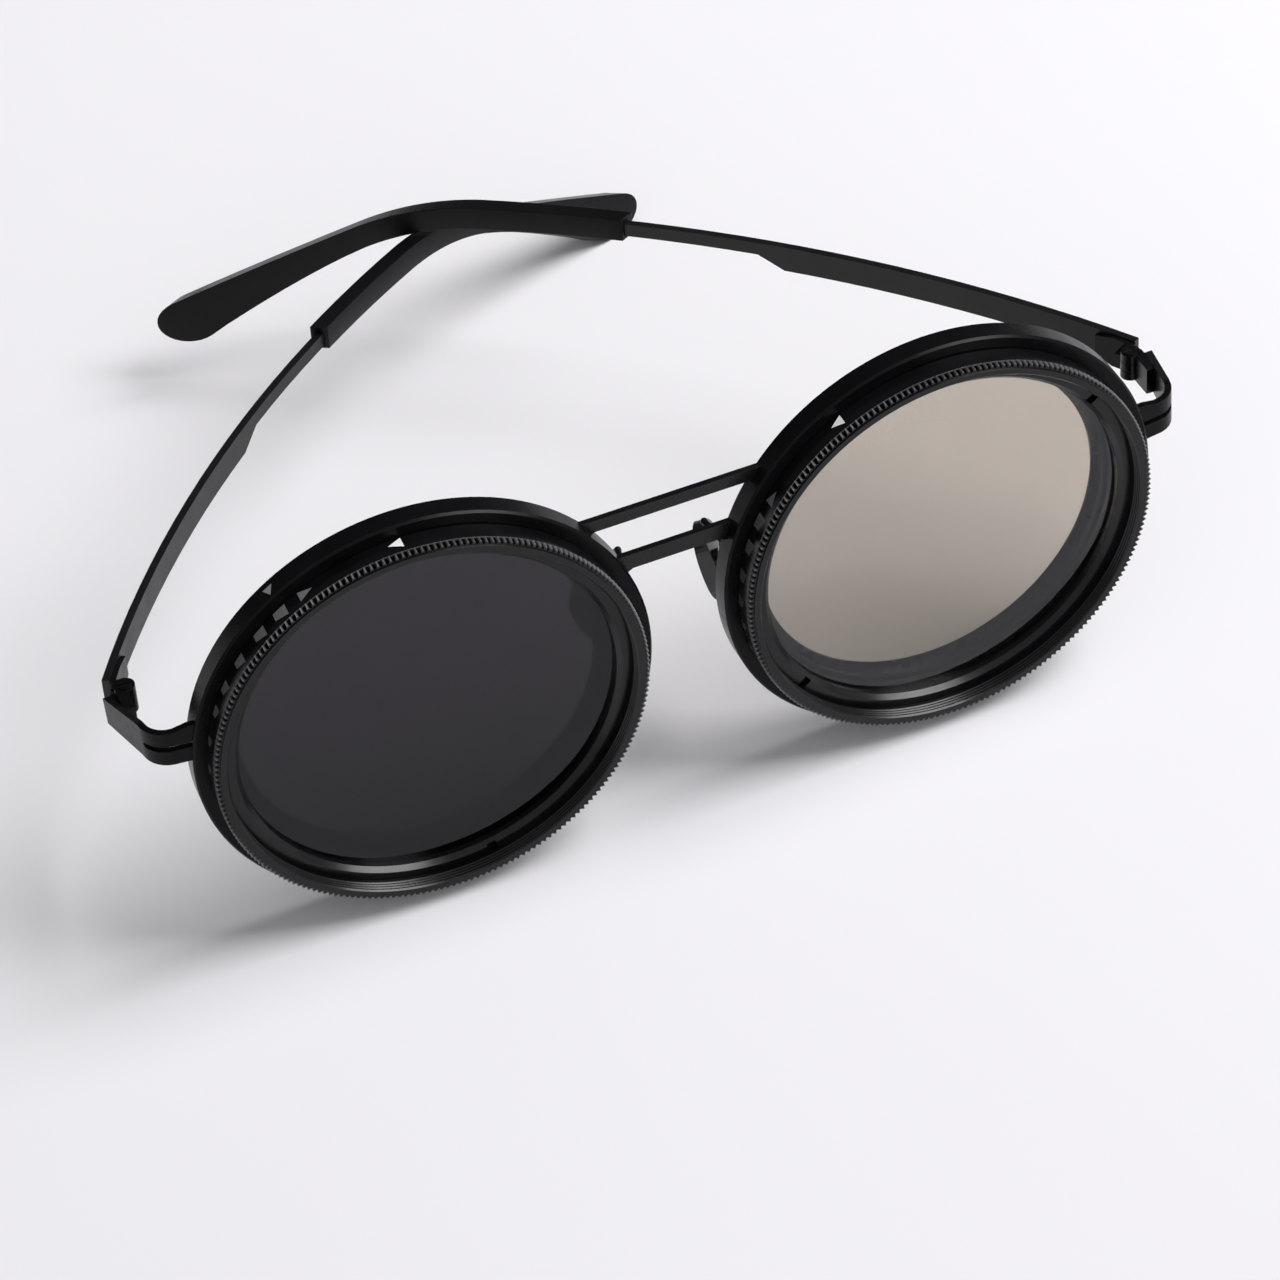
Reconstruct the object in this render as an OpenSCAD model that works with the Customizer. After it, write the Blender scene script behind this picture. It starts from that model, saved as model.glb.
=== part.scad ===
// Round sunglasses with two turning polarising lens rings.
// Each eye has a fixed rear glass in the rim and a front glass in a knurled ring that turns.
// All sizes are in millimetres. X is across the face, Y runs back along the temples, Z is up.

/* [Frame] */
// Least gap between the two rims
rim_gap = 10.1; // [9:0.1:13]
// Outer radius of a rim
rim_r = 29.65; // [29.2:0.05:30.4]
// How far each rim turns back at its outer side, in degrees
wrap = 1.2; // [0:0.1:3]

/* [Lens rings] */
// How far the rim stands out past the knurled ring
rim_step = 1.65; // [1.3:0.05:2]
// Number of teeth around the knurled ring
grip_teeth = 216; // [180:4:240]
// Depth of a knurl tooth
tooth_h = 0.62; // [0.3:0.02:0.7]
// Width of the knurled band
grip_w = 1.0; // [0.9:0.05:1.5]
// Wall between the knurled ring's outside and its threaded bore
thread_wall = 1.65; // [1.5:0.05:1.9]
// Depth from the front face to the retaining ring
thread_d = 1.8; // [1.4:0.1:2.2]
// Depth of the turning ring's outer band
band_d = 3.6; // [3.4:0.1:3.8]
// Width of the front retaining ring
keeper_w = 1.95; // [1.6:0.05:2.4]
// Height of the front retaining ring
keeper_h = 1.4; // [1.2:0.1:1.6]
// Thickness of a polariser glass
glass_t = 1.1; // [0.9:0.1:1.2]
// How much smaller the rear opening is than the front one, in radius
rear_step = 1.3; // [1:0.05:2]
// Gap between surfaces that slide on each other
run_gap = 0.06; // [0.04:0.01:0.1]

/* [Bridge] */
// Thickness of the bridge bars
bar_t = 0.8; // [0.6:0.05:1]
// Height of the upper bar
upper_h = 1.75; // [1.4:0.05:2.2]
// Height of the upper bar's centre above the lens centres
upper_z = 18.2; // [16:0.1:20]
// Height of the lower bar
lower_h = 2.25; // [1.8:0.05:2.8]
// Height of the lower bar's centre above the lens centres
lower_z = 10.8; // [8:0.1:12]

/* [Lugs and hinges] */
// Thickness of the bent lug strip
lug_t = 0.85; // [0.7:0.05:1.2]
// How far the hinge pin stands outside the rim
pin_out = 3.85; // [3.4:0.05:4.3]
// Distance of the hinge pins behind the front face
pin_y = 17.4; // [17:0.1:19]
// Height of the hinge above the lens centres
pin_z = 4.75; // [4:0.05:5]
// Radius of a hinge barrel
barrel_r = 1.3; // [1.25:0.05:1.5]
// Radius of the hinge screw
pin_r = 0.6; // [0.5:0.05:0.65]
// Radius of the lug's knee
knee_r = 3.6; // [3:0.1:4.5]
// Height of the slot along the lug
slot_h = 0.8; // [0.4:0.05:0.9]

/* [Temples] */
// Radius of the temple's inward bow
bow_r = 205; // [190:5:240]
// Thickness of the temple strip
blade_t = 1; // [0.8:0.05:1.2]
// Height of the temple strip at the hinge
blade_h = 3.8; // [3.6:0.05:4.2]
// Height of the temple strip after its step
slim_h = 1.9; // [1.6:0.05:2.2]
// Distance from the hinge to the step
step_y = 53; // [48:0.5:58]
// Distance from the hinge to the start of the sleeve
sleeve_y = 72.5; // [70:0.5:78]
// Height of the sleeve at its start
sleeve_h = 3.4; // [3:0.05:4]
// Thickness of the sleeve
sleeve_t = 2.2; // [2:0.05:2.6]
// Distance from the hinge to the start of the ear bend
bend_y = 91; // [86:0.5:96]
// Radius of the ear bend
bend_r = 31.5; // [28:0.5:38]
// Angle of the ear bend seen from the side, in degrees
bend_a = 28.5; // [24:0.5:30]
// Length of the straight end behind the bend
tail_len = 27.5; // [26:0.5:30]
// Height of the sleeve at its tip
tip_h = 6.9; // [6:0.1:7.4]
// Fold of the left temple as it stands, in degrees
fold_l = 29.6; // [20:0.1:34]
// Fold of the right temple as it stands, in degrees
fold_r = 31.6; // [20:0.1:36]
// Sideways tilt of both hinge pins, in degrees
pin_tilt = 2.2; // [1:0.1:3]
// Backward tilt of both hinge pins, in degrees
pin_rake = 2; // [1:0.1:3]

/* [Nose pads] */
// Height of a nose pad
pad_h = 11.5; // [11:0.5:14]
// Width of a nose pad
pad_w = 7.6; // [6:0.2:8.4]
// Thickness of a nose pad
pad_t = 2.6; // [2.4:0.1:3]
// Distance of a nose pad's centre from the middle
pad_x = 7.9; // [7.6:0.1:9]
// Distance of a nose pad's centre behind the front face
pad_y = 14.2; // [13.6:0.1:15]
// Height of a nose pad's centre above the lens centres
pad_z = -1.6; // [-3.5:0.1:-1]
// Turn of a nose pad about the upright, in degrees
pad_splay = 26; // [18:1:34]
// Tilt of a nose pad's top toward the nose, in degrees
pad_flare = 15; // [8:1:20]
// Radius of the pad arm wire
wire_r = 0.45; // [0.4:0.05:0.5]

/* [Hidden] */
$fn = 96;
// Everything across the face follows from the rim's radius
lens_gap = 2 * rim_r + rim_gap;
pin_x = lens_gap / 2 + rim_r + pin_out;
grip_r = rim_r - rim_step;
thread_r = grip_r - thread_wall;
front_open_r = thread_r - keeper_w;
rear_open_r = front_open_r - rear_step;
// Stack of one lens, measured back from the front face
keeper_out = thread_r - 0.02;
glass_f0 = thread_d + keeper_h;
glass_f1 = glass_f0 + glass_t;
turn_end = glass_f1 + 0.75;
glass_r = front_open_r + 0.8;
spigot_r = grip_r - 1.1;
rim_front = band_d + 0.12;
rim_back = rim_front + 3.2;
rim_edge = 0.3;
rim_bevel = 0.28;
socket_r = spigot_r + run_gap;
slip_t = 0.38;
socket_end = turn_end + slip_t + run_gap;
rear_keeper_h = 0.5;
glass_r0 = socket_end + rear_keeper_h;
glass_r1 = glass_r0 + glass_t;
rear_glass_r = rear_open_r + 1.7;
boss_r = rear_glass_r + 1.2;
boss_end = glass_r1 + 0.7;
notch_w = 1.2;
// Spring ring: held in the rim's groove, with its inner edge in the turning ring's groove
snap_y = rim_front + 0.75;
snap_w = 0.42;
snap_in = spigot_r - 0.38;
snap_out = socket_r + 0.45;
snap_gap = 3;
// The temple's outer face stands this far outside the pin
blade_off = 3;
// Bars and lugs end on the rim's edge
bar_y = rim_back - 1.75;
lug_y = rim_front + 1;
lug_z = 5.75;
lug_root_h = 5.6;
lug_knee_h = 5.1;
lug_mid_z = lug_z - 0.2;
lug_end_h = 4.2;
lug_end_up = -0.95;
lug_back = 6;
lug_out = 12.5;
knee_y = lug_y + knee_r + 0.3;
knee_x = pin_x + blade_off - knee_r / cos(lug_out) - (pin_y - knee_y) * tan(lug_out);
slot_end = knee_y - 1.4;
edge_out = lens_gap / 2 + sqrt(rim_r * rim_r - lug_z * lug_z);
hinge_gap = 0.06;
leaf_h = blade_h / 3;
leaf_back = 3.6;
plate_t = 0.7;
plate_top = blade_h / 2 - 0.15;
plate_h = blade_h + 0.7;
plate_len = 5.8;
// The sleeve stands a little above the strip
top_up = 1.05;
tip_r = tip_h / 2;
tip_slope = 12;
under_steps = 8;
core_short = 9;
blade_start = 0.6;
step_len = 3.6;
bend_steps = 14;
end_steps = 16;
// Foot of the pad arm on the rim's back face
foot_r = rim_r - 0.85 - wire_r;
foot_a = 166;
// Radii of the pad's two domed faces
outer_dome = 26;
inner_dome = 32;
// Hinge of the pad on its box
post_r = 0.72;
post_x = pad_t / 2 + 1.15;
box_wall = 0.42;
box_front = pad_t / 2 + 0.5;
box_back = post_x + 1.1;
box_h = 1.9;
post_t = 0.8;

// Moves a point of a temple, drawn open on the right side, to where it stands
function fold(s) = s < 0 ? fold_l : fold_r;
function swung(p, a) = [p[0] * cos(a) - p[1] * sin(a), p[0] * sin(a) + p[1] * cos(a), p[2]];
function sided(s, p) = [s * p[0], p[1], p[2]];
function raked(p) = [p[0], p[1] * cos(pin_rake) + p[2] * sin(pin_rake),
                     p[2] * cos(pin_rake) - p[1] * sin(pin_rake)];
function tilted(p) = [p[0] * cos(pin_tilt) + p[2] * sin(pin_tilt), p[1],
                      p[2] * cos(pin_tilt) - p[0] * sin(pin_tilt)];
function placed(s, p) = [s * pin_x, pin_y, pin_z] + tilted(raked(sided(s, swung(p, fold(s)))));
// Centre of the round end of a sleeve
tip_y = bend_y + (tail_len - tip_r) * cos(bend_a) + (bend_r + top_up - tip_r) * sin(bend_a);
tip_z = blade_h / 2 - bend_r - (tail_len - tip_r) * sin(bend_a) + (bend_r + top_up - tip_r) * cos(bend_a);
tip_x = blade_off - bow_r + sqrt(pow(bow_r - blade_t / 2, 2) - tip_y * tip_y);
// Lowest point of the left tip, which the table carries together with the rims
tip_low = placed(-1, [tip_x + sleeve_t / 2, tip_y, tip_z - tip_r]) - [0, 0, 0.02];
lean = atan2(tip_low[2] + rim_r, tip_low[1] - rim_back + rim_edge);
stand_h = (rim_back - rim_edge) * sin(lean) + rim_r * cos(lean);
// Front and back ends of the whole, which set the middle
front_end = -(grip_r - tooth_h) * sqrt(pow(sin(lean), 2) + pow(sin(wrap) * cos(lean), 2));
function far(s) = placed(s, [tip_x, tip_y, tip_z])[1] * cos(lean)
                  + placed(s, [tip_x, tip_y, tip_z])[2] * sin(lean) + 0.72 * tip_r;
mid_y = (front_end + max(far(-1), far(1))) / 2;

// Places a piece made in the frame's own axes onto the table
module stand() {
    translate([0, -mid_y, stand_h]) rotate([-lean, 0, 0]) children();
}

// Puts a piece on one side. It is drawn for the right side, and s is -1 for the left
module side(s) {
    mirror([s < 0 ? 1 : 0, 0, 0]) children();
}

// Lens axes: the piece is drawn with its axis along Z, front at zero
module at_lens() {
    translate([lens_gap / 2, 0, 0]) rotate([0, 0, wrap]) rotate([-90, 0, 0]) children();
}

// Hinge axes: Z is the pin, Y is the open temple. Both pins lean the same way
module at_hinge(s) {
    translate([s * pin_x, pin_y, pin_z]) rotate([-pin_rake, pin_tilt, 0])
        mirror([s < 0 ? 1 : 0, 0, 0]) children();
}

// A turned piece from points of radius and depth
module turned(pts) {
    rotate_extrude($fn = 180) polygon(pts);
}

// Rim: carries the rear glass, the slip ring and the turning ring
module rim(s) {
    stand() side(s) at_lens() difference() {
        turned([[socket_r, rim_front], [rim_r - rim_bevel, rim_front], [rim_r, rim_front + rim_bevel],
                [rim_r, rim_back - 0.3], [rim_r - 0.3, rim_back], [boss_r, rim_back],
                [boss_r, boss_end - 0.25], [boss_r - 0.25, boss_end], [rear_open_r + 0.3, boss_end],
                [rear_open_r, boss_end - 0.3], [rear_open_r, glass_r1], [rear_glass_r, glass_r1],
                [rear_glass_r, socket_end], [socket_r, socket_end]]);
        // Groove for the snap ring
        translate([0, 0, snap_y]) difference() {
            cylinder(r = snap_out + 0.05, h = snap_w);
            translate([0, 0, -1]) cylinder(r = socket_r - 0.5, h = snap_w + 2);
        }
        // Hole for the foot of the pad arm
        rotate([0, 0, -foot_a]) translate([foot_r, 0, rim_back - 1.5])
            cylinder(r = wire_r, h = 4, $fn = 32);
    }
}

// Teeth outline of the knurled band
module teeth() {
    polygon([for (i = [0 : 2 * grip_teeth - 1])
        let (a = i * 180 / grip_teeth, r = i % 2 == 0 ? grip_r : grip_r - tooth_h)
        [r * cos(a), r * sin(a)]]);
}

// Turning ring: knurled band, scale band and the spigot that runs in the rim
module turn_ring(s) {
    stand() side(s) at_lens() {
        difference() {
            turned([[thread_r, 0.2], [thread_r + 0.2, 0], [grip_r - tooth_h - 0.05, 0],
                    [grip_r - tooth_h - 0.05, grip_w], [grip_r - 0.08, grip_w],
                    [grip_r - 0.08, band_d - 0.1], [grip_r - 0.18, band_d], [spigot_r, band_d],
                    [spigot_r, turn_end], [front_open_r, turn_end],
                    [front_open_r, glass_f1], [glass_r, glass_f1],
                    [glass_r, glass_f0], [thread_r, glass_f0]]);
            // Groove for the snap ring
            translate([0, 0, snap_y - 0.03]) difference() {
                cylinder(r = spigot_r + 1, h = snap_w + 0.06);
                translate([0, 0, -1]) cylinder(r = snap_in - 0.06, h = snap_w + 2);
            }
            // Filter thread, drawn as rings
            for (k = [0 : 2]) turned([[thread_r - 0.1, 0.35 + 0.45 * k], [thread_r, 0.35 + 0.45 * k],
                                      [thread_r + 0.18, 0.5 + 0.45 * k], [thread_r, 0.65 + 0.45 * k],
                                      [thread_r - 0.1, 0.65 + 0.45 * k]]);
        }
        translate([0, 0, 0.18]) difference() {
            linear_extrude(grip_w - 0.18) teeth();
            translate([0, 0, -1]) cylinder(r = grip_r - tooth_h - 0.2, h = grip_w + 2, $fn = 180);
        }
    }
}

// Front glass disc, seated on the turning ring's inner flange
module front_glass(s) {
    stand() side(s) at_lens() translate([0, 0, glass_f0])
        cylinder(r = glass_r - 0.02, h = glass_t, $fn = 180);
}

// Where the notches stand, in degrees up from the outer side
function notch_turn(s) = s < 0 ? 78 : 36;

// Threaded retaining ring with two spanner notches
module front_keeper(s) {
    stand() side(s) at_lens() difference() {
        turned([[front_open_r, thread_d + 0.6], [front_open_r + 0.6, thread_d], [keeper_out, thread_d],
                [keeper_out, glass_f0], [front_open_r, glass_f0]]);
        for (a = [notch_turn(s), notch_turn(s) + 180]) rotate([0, 0, -a])
            translate([front_open_r + 0.4, -notch_w / 2, thread_d - 1]) cube([3, notch_w, 1.8]);
    }
}

// Rear glass disc, fixed in the rim
module rear_glass(s) {
    stand() side(s) at_lens() translate([0, 0, glass_r0])
        cylinder(r = rear_glass_r - 0.02, h = glass_t, $fn = 180);
}

// Ring that holds the rear glass against the rim's flange
module rear_keeper(s) {
    stand() side(s) at_lens()
        turned([[rear_open_r + 0.8, socket_end], [rear_glass_r - 0.02, socket_end],
                [rear_glass_r - 0.02, glass_r0], [rear_open_r + 0.8, glass_r0]]);
}

// Slip ring between the turning ring and the rim
module slip_ring(s) {
    stand() side(s) at_lens()
        turned([[rear_glass_r + 0.4, socket_end - slip_t], [socket_r - 0.15, socket_end - slip_t],
                [socket_r - 0.15, socket_end], [rear_glass_r + 0.4, socket_end]]);
}

// Open spring ring that keeps the turning ring in the rim
module snap_ring(s) {
    stand() side(s) at_lens() difference() {
        turned([[snap_in, snap_y + 0.03], [snap_out, snap_y + 0.03],
                [snap_out, snap_y + snap_w - 0.03], [snap_in, snap_y + snap_w - 0.03]]);
        rotate([0, 0, 90]) translate([0, -snap_gap / 2, 0]) cube([rim_r + 5, snap_gap, 20]);
    }
}

// Solid disc as large as a rim, used to end the bars and lugs on its edge
module rim_body() {
    at_lens() translate([0, 0, rim_front]) cylinder(r = rim_r, h = rim_back - rim_front, $fn = 180);
}

module bar(z, h, flare) {
    stand() difference() {
        union() {
            translate([-lens_gap / 2, bar_y, z - h / 2]) cube([lens_gap, bar_t, h]);
            // Small brazed fillet under the end of the bar
            for (q = [0, 1]) mirror([q, 0, 0]) translate([0, bar_y + bar_t, 0]) rotate([90, 0, 0])
                linear_extrude(bar_t) polygon([[edge_x(z - h / 2) - flare, z - h / 2],
                    [edge_x(z - h / 2 - flare) + 1, z - h / 2 - flare],
                    [edge_x(z - h / 2) + 1, z - h / 2]]);
        }
        rim_body();
        mirror([1, 0, 0]) rim_body();
    }
}

// Distance from the middle to the rim's edge at height z
function edge_x(z) = lens_gap / 2 - sqrt(rim_r * rim_r - z * z);

// Outline of the lug strip seen from above: front strip, round knee and side arm
module lug_plan() {
    translate([knee_x, knee_y]) {
        rotate(lug_back) translate([-7, -knee_r]) square([7.05, lug_t]);
        intersection() {
            difference() {
                circle(r = knee_r);
                circle(r = knee_r - lug_t);
            }
            polygon([[0, 0], [9 * sin(lug_back), -9 * cos(lug_back)], [9, -9],
                     [9 * cos(lug_out), -9 * sin(lug_out)]]);
        }
        rotate(-lug_out) translate([knee_r - lug_t, -0.05]) square([lug_t, pin_y]);
    }
}

// Lug: bent strip from the rim to the hinge, with a long slot around its knee
module lug(s) {
    stand() side(s) difference() {
        intersection() {
            translate([0, 0, -20]) linear_extrude(60) lug_plan();
            union() {
                // Root, taller at the rim
                translate([0, knee_y + 0.01, 0]) rotate([90, 0, 0]) linear_extrude(8)
                    polygon([[edge_out - 5, lug_z - lug_root_h / 2], [edge_out, lug_z - lug_root_h / 2],
                             [knee_x, lug_mid_z - lug_knee_h / 2], [knee_x + 9, lug_mid_z - lug_knee_h / 2],
                             [knee_x + 9, lug_mid_z + lug_knee_h / 2], [knee_x, lug_mid_z + lug_knee_h / 2],
                             [edge_out, lug_z + lug_root_h / 2], [edge_out - 5, lug_z + lug_root_h / 2]]);
                // Arm, sloping down to the hinge
                translate([knee_x - 3, 0, 0]) rotate([90, 0, 90]) linear_extrude(20)
                    polygon([[knee_y, lug_mid_z - lug_knee_h / 2],
                             [pin_y - 0.25, pin_z + lug_end_up - lug_end_h / 2],
                             [pin_y - 0.25, pin_z + lug_end_up + lug_end_h / 2],
                             [knee_y, lug_mid_z + lug_knee_h / 2]]);
            }
        }
        rim_body();
        // Slot from the rim round the knee, with a round end on the arm
        translate([edge_out - 3, lug_y - 2, lug_mid_z - slot_h / 2])
            cube([20, slot_end - lug_y + 2, slot_h]);
        translate([knee_x - 1, slot_end, lug_mid_z]) rotate([0, 90, 0])
            cylinder(r = slot_h / 2, h = 9, $fn = 32);
    }
}

// Everything outside the lug arm's inner face
module outside_lug() {
    translate([knee_x, knee_y, -20]) rotate([0, 0, -lug_out])
        translate([knee_r - lug_t, -9, 0]) cube([20, 40, 60]);
}

// Two fixed leaves of the hinge, with the plate that carries them on the lug
module hinge_front(s) {
    stand() difference() {
        at_hinge(s) difference() {
            union() {
                for (q = [-1, 1]) translate([0, 0, q > 0 ? leaf_h / 2 + hinge_gap : -leaf_h * 1.5]) {
                    cylinder(r = barrel_r, h = leaf_h - hinge_gap);
                    translate([0, -leaf_back, 0]) cube([blade_off + 2, leaf_back - 0.2, leaf_h - hinge_gap]);
                    translate([0, -leaf_back, 0]) cube([barrel_r, leaf_back, leaf_h - hinge_gap]);
                }
                // Plate along the lug, which joins the leaves
                translate([0, -leaf_back - 1, -leaf_h * 1.5])
                    cube([blade_off + 2, leaf_back - barrel_r + 0.8, leaf_h * 3]);
            }
            // Beside the knuckle, the leaves are no higher than the lug's end
            translate([barrel_r + 0.1, -10, lug_end_up + lug_end_h / 2]) cube([10, 20, 5]);
            translate([0, 0, -10]) cylinder(r = pin_r, h = 20, $fn = 48);
            // Room for the screw head
            translate([0, 0, leaf_h * 1.5 - 0.35]) cylinder(r = pin_r + 0.47, h = 5, $fn = 48);
        }
        // The leaves end on the lug's inner face
        side(s) outside_lug();
    }
}

// Hinge screw with a slotted head
module hinge_screw(s) {
    stand() at_hinge(s) difference() {
        union() {
            translate([0, 0, -leaf_h * 1.5 + 0.1]) cylinder(r = pin_r - 0.005, h = leaf_h * 3 - 0.2, $fn = 48);
            translate([0, 0, leaf_h * 1.5 - 0.35]) cylinder(r = pin_r + 0.45, h = 0.5, $fn = 48);
        }
        translate([-3, -0.12, leaf_h * 1.5 - 0.05]) cube([6, 0.24, 1]);
    }
}

// Middle leaf of the hinge, with a plate riveted to the temple
module hinge_temple(s) {
    h = leaf_h - hinge_gap;
    stand() at_hinge(s) rotate([0, 0, fold(s)]) difference() {
        union() {
            translate([0, 0, -leaf_h / 2 + hinge_gap / 2]) {
                cylinder(r = barrel_r, h = h);
                translate([0, 0.2, 0]) cube([blade_off - blade_t, 2.2, h]);
            }
            // Plate on the temple, blunt at its far end
            translate([blade_off - blade_t - plate_t, 0.4, 0]) rotate([90, 0, 90]) linear_extrude(plate_t + 0.5)
                polygon([[0, plate_top - plate_h], [3.2, plate_top - plate_h],
                         [plate_len, plate_top - plate_h + 1], [plate_len, plate_top - 0.6],
                         [3.2, plate_top], [0, plate_top]]);
        }
        translate([0, 0, -10]) cylinder(r = pin_r + run_gap, h = 20, $fn = 48);
        blade_arc(blade_t, 0);
    }
}

// Curved sheet that the temple is cut from, t thick about the blade's own middle
module blade_arc(t, grow) {
    rm = bow_r - blade_t / 2;
    translate([blade_off - bow_r, 0, -60]) difference() {
        cylinder(r = rm + t / 2 + grow, h = 120, $fn = 360);
        translate([0, 0, -1]) cylinder(r = rm - t / 2 - grow, h = 122, $fn = 360);
    }
}

// Side outlines. Zero height is the strip's top edge, and d is a depth under it
function bend_pt(d, a) = [bend_y + (bend_r - d) * sin(a), (bend_r - d) * cos(a) - bend_r];
function bend_pts(d) = [for (i = [0 : bend_steps]) bend_pt(d, bend_a * i / bend_steps)];
function back_pts(d) = [for (i = [0 : bend_steps]) bend_pt(d, bend_a * (1 - i / bend_steps))];
function tail_pt(t, d) = bend_pt(d, bend_a) + t * [cos(bend_a), -sin(bend_a)];

// Metal strip, with the thin core that runs inside the sleeve
module strip_side(grow) {
    core = tail_len - core_short;
    polygon(concat([[blade_start, grow]], bend_pts(-grow),
        [tail_pt(core, -grow), tail_pt(core, slim_h + grow)], back_pts(slim_h + grow),
        [[step_y + step_len / 2, -slim_h - grow], [step_y - step_len / 2, -blade_h - grow],
         [blade_start, -blade_h - grow]]));
}

// Ear sleeve, deeper toward its round end
module sleeve_side() {
    end = tail_pt(tail_len - tip_r, tip_r - top_up);
    arc = (180 + tip_slope) / end_steps;
    polygon(concat([[sleeve_y, top_up]], bend_pts(-top_up),
        [for (i = [0 : end_steps]) let (a = 90 - bend_a - i * arc) end + tip_r * [cos(a), sin(a)]],
        [for (i = [under_steps - 1 : -1 : 1]) let (u = i / under_steps)
            tail_pt(u * (tail_len - tip_r), sleeve_h - top_up + (tip_h - sleeve_h) * pow(u, 1.5))],
        back_pts(sleeve_h - top_up), [[sleeve_y, top_up - sleeve_h]]));
}

// Turns a side outline into a solid across the temple
module across() {
    translate([-120, 0, blade_h / 2]) rotate([90, 0, 90]) linear_extrude(140) children();
}

// Temple strip
module temple(s) {
    stand() at_hinge(s) rotate([0, 0, fold(s)]) intersection() {
        blade_arc(blade_t, 0);
        across() strip_side(0);
    }
}

// Ear sleeve, open at the front, with room for the core
module sleeve(s) {
    stand() at_hinge(s) rotate([0, 0, fold(s)]) difference() {
        intersection() {
            blade_arc(sleeve_t, 0);
            across() sleeve_side();
        }
        intersection() {
            blade_arc(blade_t, 0.02);
            across() strip_side(0.02);
        }
    }
}

// Nose pad axes: X is away from the nose, Y across the pad and Z along it
module at_pad() {
    translate([pad_x, pad_y, pad_z]) rotate([0, -pad_flare, -pad_splay]) children();
}

// A point of the pad's axes in the frame's axes
function pad_pt(p) =
    let (a = -pad_flare, q = [p[0] * cos(a) + p[2] * sin(a), p[1], p[2] * cos(a) - p[0] * sin(a)])
    [pad_x, pad_y, pad_z] + swung(q, -pad_splay);

// Drop outline of the pad, wider at the bottom. The straight sides touch both round ends
module pad_outline() {
    r1 = pad_w / 2;
    r2 = r1 - 0.8;
    z1 = r1 - pad_h / 2;
    z2 = pad_h / 2 - r2;
    b = asin((r1 - r2) / (z2 - z1));
    polygon([for (e = [[z1, r1, 90 - b, 180 + 2 * b], [z2, r2, b - 90, 180 - 2 * b]])
        for (i = [0 : end_steps]) let (a = e[2] + e[3] * i / end_steps)
            [e[0] + e[1] * cos(a), e[1] * sin(a)]]);
}

// Soft pad: domed plate with a pocket for the post
module nose_pad(s) {
    stand() side(s) at_pad() difference() {
        intersection() {
            rotate([0, -90, 0]) translate([0, 0, -pad_t / 2]) linear_extrude(pad_t) pad_outline();
            translate([pad_t / 2 - outer_dome, 0, 0]) sphere(r = outer_dome, $fn = 300);
            translate([inner_dome - pad_t / 2, 0, 0]) sphere(r = inner_dome, $fn = 300);
        }
        translate([pad_t / 2 - 1, -1, -1.6]) cube([3, 2, 3.2]);
    }
}

// Hard insert in the pad, with the post that hangs in the box
module pad_post(s) {
    stand() side(s) at_pad() difference() {
        union() {
            translate([pad_t / 2 - 1, -1, -1.6]) cube([0.8, 2, 3.2]);
            translate([pad_t / 2 - 1, -post_t / 2, -post_r]) cube([post_x - pad_t / 2 + 1, post_t, 2 * post_r]);
            translate([post_x, post_t / 2, 0]) rotate([90, 0, 0]) cylinder(r = post_r, h = post_t, $fn = 48);
        }
        translate([post_x, 3, 0]) rotate([90, 0, 0]) cylinder(r = 0.36 + run_gap, h = 6, $fn = 32);
    }
}

// Clevis box on the arm
module pad_box(s) {
    w = post_t / 2 + run_gap;
    stand() side(s) at_pad() difference() {
        translate([box_front, -w - box_wall, -box_h / 2])
            cube([box_back - box_front, 2 * w + 2 * box_wall, box_h]);
        translate([0, -w, -2]) cube([post_x + post_r + run_gap, 2 * w, 4]);
        translate([post_x, 3, 0]) rotate([90, 0, 0]) cylinder(r = 0.36, h = 6, $fn = 32);
    }
}

// Screw through the box and the post
module pad_screw(s) {
    w = post_t / 2 + run_gap + box_wall;
    stand() side(s) at_pad() translate([post_x, w, 0]) rotate([90, 0, 0]) difference() {
        union() {
            cylinder(r = 0.355, h = 2 * w, $fn = 32);
            translate([0, 0, -0.35]) cylinder(r = 0.6, h = 0.35, $fn = 32);
        }
        translate([-2, -0.08, -1]) cube([4, 0.16, 0.8]);
    }
}

// Round wire through points, as short rods with balls at the joints
module wire(p) {
    for (i = [0 : len(p) - 2]) {
        d = p[i + 1] - p[i];
        translate(p[i]) rotate([0, acos(d[2] / norm(d)), atan2(d[1], d[0])])
            cylinder(r = wire_r, h = norm(d), $fn = 36);
    }
    for (i = [1 : len(p) - 2]) translate(p[i]) sphere(r = wire_r + 0.03, $fn = 36);
}

// Point on a smooth curve through points, t along from point i
function ahead(p, i) = i < 0 ? 2 * p[0] - p[1] : i >= len(p) ? 2 * p[len(p) - 1] - p[len(p) - 2] : p[i];
function curve(p, i, t) = p[i] + 0.5 * (t * (ahead(p, i + 1) - ahead(p, i - 1))
    + t * t * (2 * ahead(p, i - 1) - 5 * p[i] + 4 * ahead(p, i + 1) - ahead(p, i + 2))
    + t * t * t * (3 * p[i] - ahead(p, i - 1) - 3 * ahead(p, i + 1) + ahead(p, i + 2)));

// Pad arm: wire from the rim's back, up behind the bridge and down to the box
module pad_arm(s) {
    x = foot_r * cos(foot_a);
    y = rim_back - 1.5;
    foot = [lens_gap / 2 + x * cos(wrap) - y * sin(wrap), y * cos(wrap) + x * sin(wrap), foot_r * sin(foot_a)];
    box = pad_pt([box_back + wire_r - 0.1, 0, -box_h / 2]);
    top = [pad_x - 2.1, foot[1] + 5.6, foot[2] + 1.6];
    p = [foot, foot + [0, 2.6, 0], top, [(top[0] + box[0]) / 2 - 0.4, box[1] - 0.4, box[2] + 5.5], box];
    stand() side(s) wire([for (i = [0 : len(p) - 2]) for (k = [0 : 2]) curve(p, i, k / 3), box]);
}

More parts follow.
